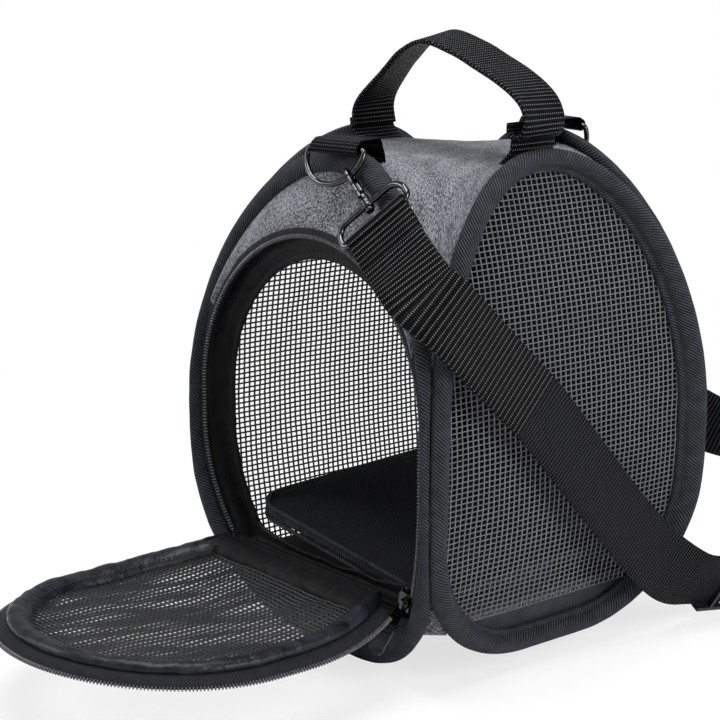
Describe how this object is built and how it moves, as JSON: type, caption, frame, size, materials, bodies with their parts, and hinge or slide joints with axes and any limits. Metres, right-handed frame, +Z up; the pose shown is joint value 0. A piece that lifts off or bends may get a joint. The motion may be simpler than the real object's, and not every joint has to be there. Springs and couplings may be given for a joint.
{
  "type": "small animal carrier",
  "caption": "Soft carrier for a small pet: arched cloth walls, mesh sides, zipped fold-down door with a mesh window, top handle, padded mat and a clip-on shoulder strap",
  "frame": {"origin": "on the floor, midway along X and Y of the carrier with its door open, strap left out", "axes": "+X right seen from the front, -Y the front where the door folds down, +Z up"},
  "size_m": [0.2427, 0.481, 0.3331],
  "materials": {
    "heather_cloth": "heather grey woven polyester, matt",
    "black_twill": "black twill with a soft bluish sheen",
    "black_mesh": "black open polyester mesh",
    "zip_tape": "black woven tape",
    "zip_teeth": "black nylon coil",
    "zip_metal": "black lacquered zinc, glossy",
    "board": "plain stiffener board",
    "mat_cloth": "black twill over a thick soft pad",
    "black_webbing": "black ribbed webbing",
    "gunmetal": "dark nickel plate, glossy",
    "black_plastic": "black moulded plastic"
  },
  "bodies": {
    "carrier": {"back_border": "black_twill", "back_lining": "black_twill", "back_panel": "heather_cloth", "base_board": "board", "body_zip_tape": "zip_tape", "body_zip_teeth": "zip_teeth", "bottom_panel": "heather_cloth", "front_border": "black_twill", "front_panel": "heather_cloth", "front_strap_end": "black_webbing", "front_tab": "black_webbing", "handle_foot_left": "black_webbing", "handle_foot_right": "black_webbing", "hinge_binding": "black_twill", "left_border": "black_twill", "left_lower_panel": "black_twill", "left_mesh": "black_mesh", "opening_facing": "black_twill", "rear_tab": "black_webbing", "right_border": "black_twill", "right_lower_panel": "black_twill", "right_mesh": "black_mesh", "shoulder_strap": "black_webbing", "top_panel": "heather_cloth"},
    "door": {"door_binding": "black_twill", "door_mesh": "black_mesh", "door_zip_tape": "zip_tape", "door_zip_teeth": "zip_teeth"},
    "slider": {"zip_slider": "zip_metal"},
    "pull": {"zip_pull": "zip_metal"},
    "mat": {"floor_mat": "mat_cloth"},
    "handle": {"handle_webbing": "black_webbing"},
    "front_ring": {"front_d_ring": "gunmetal", "front_swivel_loop": "gunmetal", "front_strap_fold": "black_webbing"},
    "front_snap": {"front_hook": "gunmetal"},
    "front_snap_gate": {"front_gate": "gunmetal"},
    "rear_ring": {"rear_d_ring": "gunmetal", "rear_swivel_loop": "gunmetal", "rear_strap_fold": "black_webbing"},
    "rear_snap": {"rear_hook": "gunmetal"},
    "rear_snap_gate": {"rear_gate": "gunmetal"},
    "adjuster": {"strap_adjuster": "black_plastic"}
  },
  "joints": [
    {"name": "door_fold", "type": "hinge", "parent": "carrier", "child": "door", "pos_m": [0, -0.00658, 0.043], "axis": [-1, 0, 0], "range_deg": [-12, 90]},
    {"name": "slider_run", "type": "hinge", "parent": "carrier", "child": "slider", "pos_m": [-0.058, -0.01533, 0.113], "axis": [0, -0.9798, -0.1999], "range_deg": [0, 6.5]},
    {"name": "pull_lift", "type": "hinge", "parent": "slider", "child": "pull", "pos_m": [0.07785, -0.00837, 0.05072], "axis": [-0.9081, -0.094, 0.408], "range_deg": [0, 26]},
    {"name": "mat_lift", "type": "slide", "parent": "carrier", "child": "mat", "axis": [0, 0, 1], "range_m": [0, 0.06]},
    {"name": "handle_swing", "type": "hinge", "parent": "carrier", "child": "handle", "pos_m": [0, 0.08943, 0.287], "axis": [1, 0, 0], "range_deg": [-40, 40]},
    {"name": "front_ring_swing", "type": "hinge", "parent": "carrier", "child": "front_ring", "pos_m": [0.006, 0.00543, 0.2796], "axis": [-0.9682, -0.2501, 0], "range_deg": [0, 20]},
    {"name": "front_snap_swivel", "type": "hinge", "parent": "front_ring", "child": "front_snap", "pos_m": [0.02066, 0.00216, 0.26676], "axis": [0.8281, -0.204, -0.5221], "range_deg": [-15, 15]},
    {"name": "front_gate", "type": "hinge", "parent": "front_snap", "child": "front_snap_gate", "pos_m": [0.03385, -0.00383, 0.26053], "axis": [-0.5451, -0.5091, -0.6661], "range_deg": [0, 22], "stiffness_Nm_per_rad": 0.01, "springref_deg": -8.59},
    {"name": "rear_ring_swing", "type": "hinge", "parent": "carrier", "child": "rear_ring", "pos_m": [0.004, 0.17342, 0.2796], "axis": [1, 0, 0], "range_deg": [0, 20]},
    {"name": "rear_snap_swivel", "type": "hinge", "parent": "rear_ring", "child": "rear_snap", "pos_m": [0.01074, 0.17935, 0.26135], "axis": [0.063, 0.182, -0.9813], "range_deg": [-15, 15]},
    {"name": "rear_gate", "type": "hinge", "parent": "rear_snap", "child": "rear_snap_gate", "pos_m": [0.01188, 0.1855, 0.24687], "axis": [0.9967, -0.062, 0.052], "range_deg": [0, 22], "stiffness_Nm_per_rad": 0.01, "springref_deg": -8.59},
    {"name": "adjuster_slide", "type": "slide", "parent": "carrier", "child": "adjuster", "axis": [0.045, 0.9866, -0.1569], "range_m": [-0.008, 0.008]}
  ]
}
